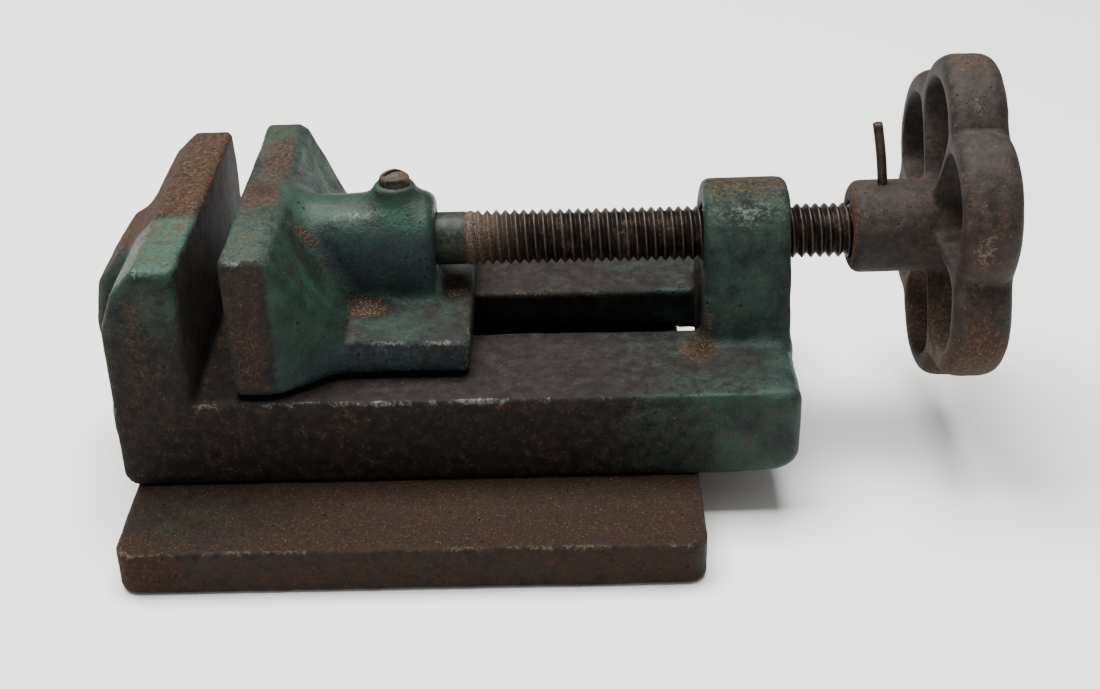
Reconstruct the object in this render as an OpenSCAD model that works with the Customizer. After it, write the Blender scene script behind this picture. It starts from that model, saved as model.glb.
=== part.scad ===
// Low screw vise on a flat base plate: a bed casting with a fixed jaw and a nut lug, a sliding
// jaw, and a lead screw turned by a six-lobed handwheel. Millimetres. The origin is the centre
// of the plate's underside, +X runs along the screw towards the handwheel, +Z is up.

/* [Base plate] */
// Length of the base plate, along the screw
plate_l = 127; // [100:1:155]
// Width of the base plate, across the jaws
plate_w = 130.6; // [105:0.2:160]
// Thickness of the base plate
plate_t = 11; // [9:0.5:16]
// Plan radius of the plate's corners
plate_r = 4.5; // [2:0.5:8]
// Distance of the plate's screws from its ends
plate_screw_in = 11.5; // [9:0.5:20]

/* [Bed casting] */
// Length of the bed over the fixed jaw and the lug
bed_l = 151.6; // [125:0.2:185]
// How far the bed stands past the plate at the fixed jaw
bed_over = 2.3; // [0:0.1:6]
// Width of the bed and of the fixed jaw
bed_w = 79.6; // [66:0.2:96]
// Height of the bed above the plate
bed_h = 19.2; // [16:0.2:26]
// Thickness of the deck that the jaw slides on
deck_t = 9.2; // [7:0.1:11]
// Thickness of the bed's walls
wall_t = 10; // [8:0.5:13]
// Width of the guide slot in the deck
slot_w = 19.6; // [16:0.1:24]
// Land between the slot and the fixed jaw's face
slot_land = 2.5; // [1:0.5:3]

/* [Fixed jaw] */
// Thickness of the fixed jaw
fixed_t = 18; // [15:0.5:22]
// Height of the fixed jaw above the deck
fixed_h = 32.9; // [27:0.1:40]
// Flat width of the fixed jaw's top
fixed_flat = 8.4; // [6:0.2:10]
// Width of the buttress on the fixed jaw's back
rib_w = 28; // [20:0.5:36]
// How far the buttress stands out of the jaw
rib_out = 8.6; // [4:0.2:12]
// Drop of the buttress's top below the jaw's top
rib_drop = 7.8; // [5:0.2:12]

/* [Screw] */
// Height of the screw's axis above the deck
axis_h = 21.7; // [19:0.1:27]
// Outside diameter of the thread
screw_d = 12.7; // [10.5:0.1:15.4]
// Threads per inch
thread_tpi = 12; // [10:1:16]
// How much thinner the plain nose is than the thread
nose_under = 0.4; // [0.3:0.1:2]
// Length of plain nose outside the boss
nose_out = 7.7; // [4:0.1:12]
// Length of plain nose inside the boss
nose_in = 20; // [16:0.5:26]
// Clear thread between the lug and the hub
hub_gap = 14.3; // [12:0.1:24]

/* [Lug] */
// Thickness of the lug along the screw
lug_t = 20; // [16:0.5:25]
// Wall of the lug round the thread, at its top
lug_wall = 6.45; // [5:0.05:8]
// Width of the lug at the deck
lug_w = 38.6; // [34:0.2:46]

/* [Sliding jaw] */
// Opening between the two jaw faces at rest
jaw_open = 8.6; // [4:0.1:30]
// Length of the sliding jaw from its face to the foot's end
slide_l = 52.6; // [48:0.2:62]
// How much narrower the sliding jaw is than the bed
slide_narrow = 2.4; // [1:0.2:6]
// How much higher the sliding jaw is than the fixed jaw
slide_step = 1.4; // [0:0.1:3]
// Thickness of the sliding jaw's top
slide_top = 10.4; // [8:0.2:12]
// Where the sloping back reaches the foot, from the face
slope_end = 24.4; // [20:0.2:28]
// Height of the foot above the deck
foot_h = 9.3; // [7:0.1:11]
// Width of the foot
foot_w = 59.6; // [50:0.2:64]
// Where the jaw's ends start to sweep in, from the face
sweep_start = 5.2; // [4:0.2:8]
// Length of the boss from the jaw's face
boss_l = 43.6; // [40:0.2:46]
// Wall of the boss round the nose
boss_wall = 5.05; // [4:0.05:7]
// Distance of the tongue from the jaw's face
tongue_in = 5.2; // [4:0.1:6.4]
// Length of the tongue in the slot
tongue_l = 44; // [36:0.5:45]

/* [Handwheel] */
// How far the hub stands past the rim's right edge
hub_past = 1; // [0.6:0.1:4]
// Wall of the hub round the screw
hub_wall = 4.55; // [4:0.05:7]
// Offset of the cast hub above its bore
hub_off = 0.9; // [0:0.1:1.5]
// Offset of the cast rim above the hub's bore
rim_off = 2.2; // [0:0.1:3]
// Width of the rim along the screw
rim_w = 12.8; // [10:0.2:16]
// Distance of the rim's left edge from the hub's left face
rim_in = 17.8; // [15:0.1:20]
// Number of lobes
lobes = 6; // [5:1:8]
// Distance of each lobe's centre from the wheel's centre
lobe_d = 21; // [18:0.5:25]
// Outer radius of a lobe
lobe_r = 18.2; // [16:0.1:21]
// Thickness of the rim
rim_t = 5.9; // [4.5:0.1:7]
// Thickness of the spokes
spoke_t = 2.8; // [2:0.1:4]

/* [Fasteners] */
// Thread diameter of the plate's and the keeper's screws
bolt_d = 6.35; // [5:0.05:7.5]
// Head diameter of the plate's countersunk screws
csk_d = 12.4; // [11:0.1:13]
// Length of the plate's screws
csk_l = 19; // [17:0.5:20]
// Width of the keeper's lap under the deck, on each side
keeper_lap = 9.2; // [6:0.2:10]
// Length of the keeper
keeper_l = 40; // [34:0.5:42]
// Thickness of the keeper
keeper_t = 5; // [4:0.25:5.5]
// Distance of the keeper's screws from its ends
keeper_screw_in = 7; // [6:0.5:9]
// Diameter of the retaining screw's shank
ret_d = 5; // [4:0.1:6]
// Diameter of the retaining screw's head
ret_head_d = 7.2; // [6.5:0.1:8.4]
// Distance of the retaining screw from the boss's end
ret_in = 8.9; // [7.5:0.1:10.5]
// Diameter of the pin through the hub
pin_d = 2.4; // [2:0.1:3.2]
// Distance of the pin from the hub's left face
pin_in = 7.2; // [6:0.2:10]
// How far the pin stands out of the hub
pin_out = 14.8; // [6:0.2:18]
// Lean of the pin's free end, in degrees
pin_lean = 8.5; // [0:0.5:14]

/* [Clearances] */
// Gap under the sliding jaw, and round its tongue
slide_gap = 0.15; // [0.1:0.05:0.3]
// Radial gap of the screw in the lug and in the boss
turn_gap = 0.08; // [0.04:0.01:0.1]
// Radial gap of a fastener in its hole
hole_gap = 0.05; // [0.02:0.01:0.2]

/* [Hidden] */

$fn = 64;
soft_fn = 24;

iron_green = "#39564d";
iron_brown = "#6b5b51";
plate_brown = "#5a4a42";
steel_dark = "#4b4540";
steel_rust = "#6e4b38";

// heights
deck_z = plate_t + bed_h;
cavity_z = deck_z - deck_t;
axis_z = deck_z + axis_h;
fixed_z = deck_z + fixed_h;
slide_z = fixed_z + slide_step;
foot_z = deck_z + foot_h;

// places along the screw
bed_x0 = -plate_l / 2 - bed_over;
bed_x1 = bed_x0 + bed_l;
fixed_x = bed_x0 + fixed_t;
face_x = fixed_x + jaw_open;
foot_x = face_x + slide_l;
boss_x = face_x + boss_l;
lug_x = bed_x1 - lug_t;
thread_x = boss_x + nose_out;
nose_x = boss_x - nose_in;
hub_x = bed_x1 + hub_gap;
rim_x = hub_x + rim_in;
hub_x1 = rim_x + rim_w + hub_past;
ret_x = boss_x - ret_in;
pin_x = hub_x + pin_in;

// radii and half widths
spigot_step = 0.85;
screw_r = screw_d / 2;
nose_r = (screw_d - nose_under) / 2;
boss_r = nose_r + boss_wall;
lug_r = screw_r + lug_wall;
hub_r = screw_r + hub_wall;
spigot_r = screw_r - spigot_step;
bed_hw = bed_w / 2;
slide_hw = bed_hw - slide_narrow / 2;
cavity_hw = bed_hw - wall_t;

// thread form
pitch = 25.4 / thread_tpi;
thread_depth = 0.6 * pitch;
mouth = 4;
thread_n = floor((hub_x + mouth - thread_x) / pitch);

// tongue, keeper and their screws
tongue_x = face_x + tongue_in;
tongue_z = cavity_z - 0.2;
keeper_x = tongue_x + (tongue_l - keeper_l) / 2;
keeper_z = tongue_z - keeper_t;
keeper_hw = slot_w / 2 + keeper_lap;
keeper_screw_xs = [keeper_x + keeper_screw_in, keeper_x + keeper_l - keeper_screw_in];
keeper_screw_top = deck_z + 3;

// retaining screw: a turned groove in the nose takes its tip
pad_h = 3.2;
pad_z = axis_z + boss_r + pad_h;
groove_r = nose_r - 1.5;
groove_w = 4.2;
tip_r = 1.7;

plate_screw_x = plate_l / 2 - plate_screw_in;
plate_screw_y = bed_hw - wall_t / 2;

// A ball whose poles and equator lie exactly on its radius, for use inside hull
module ball(r) {
  rotate_extrude($fn = soft_fn)
    polygon([for (a = [-90 : 360 / soft_fn : 90]) [r * cos(a), r * sin(a)]]);
}

// Points of an arc in a plane, from angle a0 to a1, in n steps
function arc(cx, cy, r, a0, a1, n = 6) =
  [for (i = [0 : n]) let (a = a0 + (a1 - a0) * i / n) [cx + r * cos(a), cy + r * sin(a)]];

// Turns a profile drawn as [x, radius] about the screw's axis
module turned_on_axis(points) {
  translate([0, 0, axis_z]) rotate([0, 90, 0]) rotate_extrude()
    polygon([for (p = points) [p[1], p[0]]]);
}

// A cylinder along X on the screw's axis
module axis_hole(x0, x1, r) {
  translate([x0, 0, axis_z]) rotate([0, 90, 0]) cylinder(h = x1 - x0, r = r);
}

// Convex block with every edge rounded: balls of radius r at the corners of an XZ profile
module soft_prism(points, hw, r) {
  hull()
    for (p = points, y = [-hw + r, hw - r])
      translate([p[0], y, p[1]]) ball(r);
}

module bed_block() {
  low_r0 = 3.5;
  low_r1 = 5.5;
  end_r = 2.5;
  edge_r = 0.8;
  hull() {
    for (y = [-bed_hw + edge_r, bed_hw - edge_r])
      translate([bed_x0 + edge_r, y, deck_z - edge_r]) ball(edge_r);
    for (y = [-bed_hw + end_r, bed_hw - end_r]) {
      translate([bed_x1 - end_r, y, deck_z - end_r]) ball(end_r);
      translate([bed_x1 - low_r1, y, plate_t + low_r1]) scale([low_r1 / end_r, 1, low_r1 / end_r])
        ball(end_r);
      translate([bed_x0 + low_r0, y, plate_t + low_r0]) scale([low_r0 / end_r, 1, low_r0 / end_r])
        ball(end_r);
    }
  }
}

// The fixed jaw's top falls away to the back in three straight steps
module fixed_jaw_block() {
  r = 1.6;
  root = deck_z - 4;
  mid_in = 3.1;
  mid_drop = 4.8;
  back_drop = 13;
  soft_prism([[fixed_x - r, root], [fixed_x - r, fixed_z - r],
              [fixed_x - fixed_flat, fixed_z - r],
              [bed_x0 + mid_in + r, fixed_z - mid_drop - r],
              [bed_x0 + r, fixed_z - back_drop - r], [bed_x0 + r, root]], bed_hw, r);
}

// The buttress rises from the bed in a blunt curve, given here as [from its outermost, drop]
module fixed_jaw_rib() {
  r = 3.2;
  curve = [[5.6, 1.4], [1.6, 6.4], [0, 15.4]];
  top = fixed_z - rib_drop - r;
  out_x = bed_x0 - rib_out + r;
  in_x = bed_x0 + 4;
  soft_prism(concat([[in_x, top]], [for (c = curve) [out_x + c[0], top - c[1]]],
                    [[out_x + 1, deck_z - 6], [in_x, deck_z - 10]]), rib_w / 2, r);
}

module lug_block() {
  r = 2.8;
  root = deck_z - 3;
  ring_r = lug_r - r;
  hull() {
    for (x = [lug_x + r, bed_x1 - r])
      for (a = [0 : 15 : 180])
        translate([x, ring_r * cos(a), axis_z + ring_r * sin(a)]) ball(r);
    for (x = [lug_x + r, bed_x1 - r], y = [-lug_w / 2 + r, lug_w / 2 - r])
      translate([x, y, root]) ball(r);
  }
}

// One casting: bed, fixed jaw with its buttress, and the lug that is the screw's nut
module vise_body() {
  bolt_hole_z = csk_l + 1.5;
  color(iron_green) difference() {
    union() {
      bed_block();
      fixed_jaw_block();
      fixed_jaw_rib();
      lug_block();
    }
    translate([bed_x0 + wall_t, -cavity_hw, plate_t - 1])
      cube([bed_l - 2 * wall_t, 2 * cavity_hw, cavity_z - plate_t + 1]);
    translate([fixed_x + slot_land, -slot_w / 2, cavity_z - 1])
      cube([lug_x - fixed_x - slot_land - 0.2, slot_w, deck_t + 2]);
    axis_hole(lug_x - 1, bed_x1 + 1, screw_r + turn_gap);
    for (x = [-plate_screw_x, plate_screw_x], y = [-plate_screw_y, plate_screw_y])
      translate([x, y, plate_t - 1])
        cylinder(h = bolt_hole_z - plate_t + 1, r = bolt_d / 2 + hole_gap);
  }
}

function plate_outline() =
  let (x = plate_l / 2 - plate_r, y = plate_w / 2 - plate_r)
  concat(arc(x, y, plate_r, 0, 90), arc(-x, y, plate_r, 90, 180),
         arc(-x, -y, plate_r, 180, 270), arc(x, -y, plate_r, 270, 360));

module base_plate() {
  color(plate_brown) difference() {
    linear_extrude(plate_t) polygon(plate_outline());
    for (x = [-plate_screw_x, plate_screw_x], y = [-plate_screw_y, plate_screw_y])
      translate([x, y, 0]) {
        translate([0, 0, -1]) cylinder(h = plate_t + 2, r = bolt_d / 2 + hole_gap);
        csk_cone(hole_gap, -0.01);
      }
  }
}

// The cone of a countersunk head, grown by gap all round
module csk_cone(gap, z) {
  cone_h = (csk_d - bolt_d) / 2;
  translate([0, 0, z])
    cylinder(h = cone_h + 0.4, r1 = csk_d / 2 + 0.4 + gap, r2 = bolt_d / 2 + gap);
}

module plate_screw(x, y) {
  head_in = 0.4;
  cone_h = (csk_d - bolt_d) / 2;
  color(steel_dark) translate([x, y, head_in]) difference() {
    rotate_extrude() polygon([[0, 0], [csk_d / 2, 0], [bolt_d / 2, cone_h],
      [bolt_d / 2, csk_l - head_in - 0.8], [bolt_d / 2 - 0.8, csk_l - head_in],
      [0, csk_l - head_in]]);
    translate([-csk_d, -0.8, -1]) cube([2 * csk_d, 1.6, 2.6]);
  }
}
module plate_screw_left_front() plate_screw(-plate_screw_x, -plate_screw_y);
module plate_screw_left_rear() plate_screw(-plate_screw_x, plate_screw_y);
module plate_screw_right_front() plate_screw(plate_screw_x, -plate_screw_y);
module plate_screw_right_rear() plate_screw(plate_screw_x, plate_screw_y);

// Half width of the sliding jaw at x: full at the face, then an ogee in to the foot
sweep_x0 = face_x + sweep_start;
sweep_x1 = face_x + slope_end + 1;
function half_width(x) =
  let (t = min(1, max(0, (x - sweep_x0) / (sweep_x1 - sweep_x0))))
  foot_w / 2 + (slide_hw - foot_w / 2) * (1 + cos(180 * t)) / 2;

function jaw_plan_side() =
  let (r0 = 1.2, r1 = 3)
  concat(arc(face_x + r0, slide_hw - r0, r0, 180, 90, 3),
         [for (i = [0 : 12]) let (x = sweep_x0 + (sweep_x1 - sweep_x0) * i / 12)
           [x, half_width(x)]],
         arc(foot_x - r1, foot_w / 2 - r1, r1, 90, 0, 5));

function mirrored(points) =
  [for (i = [len(points) - 1 : -1 : 0]) [points[i][0], -points[i][1]]];

function jaw_profile() =
  let (r0 = 1.2, r1 = 2.6, r2 = 1, bottom = deck_z + slide_gap)
  concat([[face_x, bottom]], arc(face_x + r0, slide_z - r0, r0, 180, 90, 3),
         arc(face_x + slide_top - r1, slide_z - r1, r1, 90, 30, 5),
         [[face_x + slope_end, foot_z]],
         arc(foot_x - r2, foot_z - r2, r2, 90, 0, 3), [[foot_x, bottom]]);

module jaw_boss() {
  end_r = 2.5;
  pad_sink = 2.4;
  pad_low_r = 7;
  pad_top_r = 4.4;
  deep_x = face_x + 4;
  turned_on_axis(concat([[deep_x, 0], [deep_x, boss_r]],
                        arc(boss_x - end_r, boss_r - end_r, end_r, 90, 0, 5), [[boss_x, 0]]));
  translate([deep_x, -boss_r, foot_z - 2])
    cube([boss_x - deep_x - 1, 2 * boss_r, axis_z - foot_z + 2]);
  translate([ret_x, 0, pad_z - pad_h - pad_sink])
    cylinder(h = pad_h + pad_sink, r1 = pad_low_r, r2 = pad_top_r);
}

// One casting: jaw wall, foot, tongue and the boss that holds the screw's nose
module sliding_jaw() {
  color(iron_green) difference() {
    union() {
      intersection() {
        translate([0, 0, deck_z])
          linear_extrude(slide_z) polygon(concat(jaw_plan_side(), mirrored(jaw_plan_side())));
        translate([0, slide_hw + 1, 0]) rotate([90, 0, 0])
          linear_extrude(2 * slide_hw + 2) polygon(jaw_profile());
      }
      jaw_boss();
      translate([tongue_x, -slot_w / 2 + slide_gap, tongue_z])
        cube([tongue_l, slot_w - 2 * slide_gap, deck_z + 2 - tongue_z]);
    }
    axis_hole(nose_x - 1, boss_x + 1, nose_r + turn_gap);
    translate([ret_x, 0, axis_z]) cylinder(h = 30, r = ret_d / 2 + hole_gap);
    for (x = keeper_screw_xs)
      translate([x, 0, tongue_z - 1])
        cylinder(h = keeper_screw_top - tongue_z + 2, r = bolt_d / 2 + hole_gap);
  }
}

module keeper_plate() {
  color(steel_dark) difference() {
    translate([keeper_x, -keeper_hw, keeper_z]) cube([keeper_l, 2 * keeper_hw, keeper_t]);
    for (x = keeper_screw_xs)
      translate([x, 0, keeper_z - 1]) cylinder(h = keeper_t + 2, r = bolt_d / 2 + hole_gap);
  }
}

module keeper_screw(x) {
  head_h = 3;
  color(steel_dark) translate([x, 0, keeper_z]) difference() {
    rotate_extrude() polygon([[0, -head_h], [4.4, -head_h], [4.9, -head_h + 0.5], [4.9, 0],
      [bolt_d / 2, 0], [bolt_d / 2, keeper_screw_top - keeper_z],
      [0, keeper_screw_top - keeper_z]]);
    translate([-6, -0.7, -head_h - 1]) cube([12, 1.4, 2.4]);
  }
}
module keeper_screw_left() keeper_screw(keeper_screw_xs[0]);
module keeper_screw_right() keeper_screw(keeper_screw_xs[1]);

module retaining_screw() {
  head_h = 3;
  slot_turn = 25;
  tip_z = axis_z + groove_r + 0.15;
  shank_z = axis_z + nose_r + 0.4;
  color(steel_rust) translate([ret_x, 0, 0]) difference() {
    rotate_extrude() polygon(concat(
      [[0, tip_z], [tip_r, tip_z], [tip_r, shank_z], [ret_d / 2, shank_z + 0.6],
       [ret_d / 2, pad_z + 0.2], [ret_head_d / 2 - 0.4, pad_z + 0.2],
       [ret_head_d / 2, pad_z + 0.7], [ret_head_d / 2, pad_z + 1.2]],
      [for (a = [30 : 12 : 90])
        [ret_head_d / 2 * cos(a) * 1.06, pad_z + 0.5 + (head_h - 0.5) * sin(a)]]));
    rotate([0, 0, slot_turn]) translate([-6, -0.6, pad_z + head_h - 1.3]) cube([12, 1.2, 3]);
  }
}

// Ring grooves at the true pitch stand for the thread's helix
function thread_profile() =
  [for (i = [0 : thread_n - 1], k = [0 : 3])
    let (x = thread_x + i * pitch, step = [0, 0.42, 0.6, 0.86][k] * pitch)
    [x + step, k == 2 || k == 3 ? screw_r : screw_r - thread_depth]];

module lead_screw() {
  end_r = 0.8;
  groove_x = ret_x - groove_w / 2;
  thread_end = thread_x + thread_n * pitch;
  color(steel_dark) difference() {
    turned_on_axis(concat(
      [[nose_x, 0], [nose_x, nose_r - end_r], [nose_x + end_r, nose_r],
       [groove_x, nose_r], [groove_x, groove_r], [groove_x + groove_w, groove_r],
       [groove_x + groove_w, nose_r], [thread_x - 0.3, nose_r]],
      thread_profile(),
      [[thread_end, spigot_r], [hub_x1 - 1.2, spigot_r], [hub_x1 - 0.4, spigot_r - 0.8],
       [hub_x1 - 0.4, 0]]));
    pin_hole();
  }
}

// The pin's hole, straight through hub and screw
module pin_hole() {
  translate([pin_x, 0, axis_z - 2 * hub_r]) cylinder(h = 4 * hub_r, r = pin_d / 2 + hole_gap);
}

// One window, drawn as [across, outwards]: an arc inside the lobe and straight sides along the
// spokes. side is how far out along a spoke the arc starts.
function window_outline() =
  let (step = 180 / lobes, r = lobe_r - rim_t, half_t = spoke_t / 2,
       side = lobe_d * cos(step) + sqrt(pow(r, 2) - pow(lobe_d * sin(step) - half_t, 2)),
       across = side * sin(step) - half_t * cos(step),
       outwards = side * cos(step) + half_t * sin(step),
       a0 = atan2(outwards - lobe_d, across))
  concat([[0, half_t / sin(step)]], arc(0, lobe_d, r, a0, 180 - a0, 14));

// The rim seen along the screw: one disc for each lobe, less the windows
module rim_outline() {
  difference() {
    union() for (i = [0 : lobes - 1]) rotate(i * 360 / lobes) translate([0, lobe_d]) circle(lobe_r);
    for (i = [0 : lobes - 1]) rotate(i * 360 / lobes) polygon(window_outline());
  }
}

module hub_outline() {
  end_r = 2.4;
  turned_on_axis(concat([[hub_x, 0]],
    arc(hub_x + end_r, hub_r - end_r, end_r, 180, 90, 5),
    arc(hub_x1 - end_r, hub_r - end_r, end_r, 90, 0, 5), [[hub_x1, 0]]));
}

// One casting: hub, spokes and a rim of round lobes
module handwheel() {
  color(iron_brown) difference() {
    union() {
      translate([rim_x, 0, axis_z + rim_off]) rotate([90, 0, 90]) linear_extrude(rim_w) rim_outline();
      translate([0, 0, hub_off]) hub_outline();
    }
    axis_hole(hub_x - 1, hub_x + mouth, screw_r + hole_gap);
    axis_hole(hub_x, hub_x1 + 1, spigot_r + hole_gap);
    pin_hole();
  }
}

// A cut-off nail through hub and screw, bent over a little where it leaves the hub
module wheel_pin() {
  top_z = axis_z + hub_off + hub_r;
  low_z = axis_z + hub_off - hub_r + 0.4;
  bend = 1.6;
  color(steel_rust) {
    translate([pin_x, 0, low_z]) cylinder(h = top_z + 0.6 - low_z, r = pin_d / 2);
    translate([pin_x, 0, top_z + 0.6 - bend]) rotate([0, -pin_lean, 0])
      cylinder(h = pin_out - 0.6 + bend, r = pin_d / 2 - 0.05);
  }
}

vise_body();
base_plate();
plate_screw_left_front();
plate_screw_left_rear();
plate_screw_right_front();
plate_screw_right_rear();
sliding_jaw();
keeper_plate();
keeper_screw_left();
keeper_screw_right();
retaining_screw();
lead_screw();
handwheel();
wheel_pin();
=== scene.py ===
import math

import bpy
import numpy as np
from mathutils import Matrix, Vector


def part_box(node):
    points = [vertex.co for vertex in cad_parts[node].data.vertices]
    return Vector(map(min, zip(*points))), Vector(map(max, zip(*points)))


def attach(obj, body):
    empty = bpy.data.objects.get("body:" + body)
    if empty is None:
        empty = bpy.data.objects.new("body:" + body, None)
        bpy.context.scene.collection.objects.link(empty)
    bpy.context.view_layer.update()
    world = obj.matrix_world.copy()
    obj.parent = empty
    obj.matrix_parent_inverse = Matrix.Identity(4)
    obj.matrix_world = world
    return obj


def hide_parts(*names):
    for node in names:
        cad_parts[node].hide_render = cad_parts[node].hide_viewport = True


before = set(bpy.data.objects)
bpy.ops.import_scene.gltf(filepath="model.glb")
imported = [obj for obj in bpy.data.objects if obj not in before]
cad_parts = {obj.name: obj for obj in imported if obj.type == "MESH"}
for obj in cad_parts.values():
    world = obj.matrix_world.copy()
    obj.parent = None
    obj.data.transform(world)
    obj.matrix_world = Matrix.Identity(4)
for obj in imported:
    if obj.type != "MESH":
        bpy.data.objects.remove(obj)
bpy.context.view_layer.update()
scene = bpy.context.scene


# Camera, floor and light.
# The vise stands on a pale table, seen from the front, from above and a little to the right of
# its middle, under one broad soft lamp overhead and the white of the room.
camera_at = Vector((0.032393, -0.345455, 0.220747))
pitch_down, roll, yaw = (math.radians(a) for a in (29.8195, -1.3812, -0.3718))
forward = Vector((math.sin(yaw) * math.cos(pitch_down), math.cos(yaw) * math.cos(pitch_down),
                  -math.sin(pitch_down)))
level = Vector((math.cos(yaw), -math.sin(yaw), 0))
upright = level.cross(forward)
right = math.cos(roll) * level + math.sin(roll) * upright
up = math.cos(roll) * upright - math.sin(roll) * level
camera = bpy.data.objects.new("camera", bpy.data.cameras.new("camera"))
camera.data.lens = 53.92
camera.data.sensor_width = 36
camera.matrix_world = Matrix((right, up, -forward)).transposed().to_4x4()
camera.location = camera_at
scene.collection.objects.link(camera)
scene.camera = camera


def colour(text):
    """A colour written as #rrggbb, in the linear values that the shaders take"""
    shares = [int(text[i:i + 2], 16) / 255 for i in (1, 3, 5)]
    return [c / 12.92 if c <= 0.04045 else ((c + 0.055) / 1.055) ** 2.4 for c in shares] + [1]


table = bpy.data.materials.new("pale_table")
table.use_nodes = True
table_surface = table.node_tree.nodes["Principled BSDF"]
table_surface.inputs["Base Color"].default_value = colour("#f6f5f3")
table_surface.inputs["Roughness"].default_value = 0.55
floor_mesh = bpy.data.meshes.new("floor")
floor_half = 3.0
floor_mesh.from_pydata([(x * floor_half, y * floor_half, 0)
                        for x, y in ((-1, -1), (1, -1), (1, 1), (-1, 1))], [], [(0, 1, 2, 3)])
floor_mesh.materials.append(table)
floor = bpy.data.objects.new("floor", floor_mesh)
scene.collection.objects.link(floor)

lamp = bpy.data.objects.new("soft_lamp", bpy.data.lights.new("soft_lamp", "AREA"))
lamp.data.shape = "RECTANGLE"
lamp.data.size, lamp.data.size_y = 0.9, 0.6
lamp.data.energy = 30
lamp.location = (-0.1, 0.12, 0.95)
lamp.rotation_euler = (math.radians(-6), math.radians(-5), 0)
scene.collection.objects.link(lamp)
room = bpy.data.worlds.new("white_room")
room.use_nodes = True
room.node_tree.nodes["Background"].inputs["Color"].default_value = (1, 1, 1, 1)
room.node_tree.nodes["Background"].inputs["Strength"].default_value = 0.38
scene.world = room


# Base plate.
# A thick piece of flat steel bar, flame cut to length. Its edges are knocked blunt, and years in
# a shop have left it brown with rust, with green and orange specks of paint that was cleaned off.
MM = 0.001


def corners(node):
    """Lowest and highest corner of a CAD node, in mm"""
    return [np.array(c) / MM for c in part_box(node)]


def open_axes(lo, hi, cell):
    """The x, y and z axes of a grid of points in mm, two cells larger than lo to hi"""
    axes = [np.arange(a - 2.37 * cell, b + 2.8 * cell, cell) for a, b in zip(lo, hi)]
    return axes[0].reshape(-1, 1, 1), axes[1].reshape(1, -1, 1), axes[2].reshape(1, 1, -1)


def within(t, lo, hi):
    """Distance outside a slab from lo to hi, negative inside it"""
    return np.abs(t - (lo + hi) / 2) - (hi - lo) / 2


def both(a, b, r):
    """What two shapes share, with an outer edge of radius r where they meet"""
    return np.minimum(np.maximum(a, b), -r) + np.hypot(np.maximum(a + r, 0), np.maximum(b + r, 0))


def either(a, b, r):
    """Two shapes grown together, with a fillet of radius r where they meet"""
    return np.maximum(np.minimum(a, b), r) - np.hypot(np.maximum(r - a, 0), np.maximum(r - b, 0))


def less(a, b, r):
    """Shape a with b cut out of it, and the cut's edge rounded to radius r"""
    return both(a, -b, r)


def ease(t):
    """0 below 0, 1 above 1, and a smooth rise between"""
    t = np.clip(t, 0, 1)
    return t * t * (3 - 2 * t)


def skin(field, axes):
    """The closed surface where field is 0: points in mm and four-cornered faces"""
    inside = field < 0
    around = np.zeros([n - 1 for n in field.shape], np.int8)
    shifts = [(i, j, k) for i in (0, 1) for j in (0, 1) for k in (0, 1)]
    for i, j, k in shifts:
        around += inside[i:field.shape[0] - 1 + i, j:field.shape[1] - 1 + j,
                         k:field.shape[2] - 1 + k]
    cells = np.nonzero((around > 0) & (around < 8))
    number = np.full(around.shape, -1)
    number[cells] = np.arange(len(cells[0]))
    total, count = np.zeros((len(cells[0]), 3)), np.zeros(len(cells[0]))
    for axis in range(3):
        for start in [s for s in shifts if s[axis] == 0]:
            end = [s + (a == axis) for a, s in enumerate(start)]
            here = field[tuple(c + s for c, s in zip(cells, start))]
            there = field[tuple(c + s for c, s in zip(cells, end))]
            cut = (here < 0) != (there < 0)
            point = np.tile(np.array(start, float), (len(here), 1))
            point[cut, axis] += here[cut] / (here[cut] - there[cut])
            total[cut] += point[cut]
            count[cut] += 1
    start = np.array([a.flat[0] for a in axes])
    cell = axes[0].flat[1] - axes[0].flat[0]
    points = start + cell * (np.stack(cells, 1) + total / count[:, None])
    faces = []
    for axis in range(3):
        first, second = np.moveaxis(inside, axis, 0)[:-1], np.moveaxis(inside, axis, 0)[1:]
        crossed = (first != second)[:, 1:-1, 1:-1]
        a, b, c = np.nonzero(crossed)
        ids = np.moveaxis(number, axis, 0)
        quad = np.stack([ids[a, b, c], ids[a, b + 1, c], ids[a, b + 1, c + 1], ids[a, b, c + 1]], 1)
        outward = first[:, 1:-1, 1:-1][a, b, c] ^ (axis == 1)
        quad[~outward] = quad[~outward][:, ::-1]
        faces.append(quad)
    return points, np.concatenate(faces).tolist()


def sample(field, axes, points):
    """The field at any points, by straight interpolation"""
    start = np.array([a.flat[0] for a in axes])
    cell = axes[0].flat[1] - axes[0].flat[0]
    t = np.clip((points - start) / cell, 0, np.array(field.shape) - 1.001)
    i = t.astype(int)
    t = t - i
    value = 0
    for dx in (0, 1):
        for dy in (0, 1):
            for dz in (0, 1):
                share = np.prod(np.where((dx, dy, dz), t, 1 - t), 1)
                value = value + share * field[i[:, 0] + dx, i[:, 1] + dy, i[:, 2] + dz]
    return value


def lumps(points, size, seed):
    """Smooth chance bumps from -1 to 1, about size mm apart"""
    side = 32
    lattice = np.random.default_rng(seed).uniform(-1, 1, (side, side, side))
    t = points / size + 1000
    i = np.floor(t).astype(int)
    t = ease(t - i)
    value = 0
    for dx in (0, 1):
        for dy in (0, 1):
            for dz in (0, 1):
                share = np.prod(np.where((dx, dy, dz), t, 1 - t), 1)
                corner = [(i[:, a] + d) % side for a, d in enumerate((dx, dy, dz))]
                value = value + share * lattice[tuple(corner)]
    return value


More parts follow.
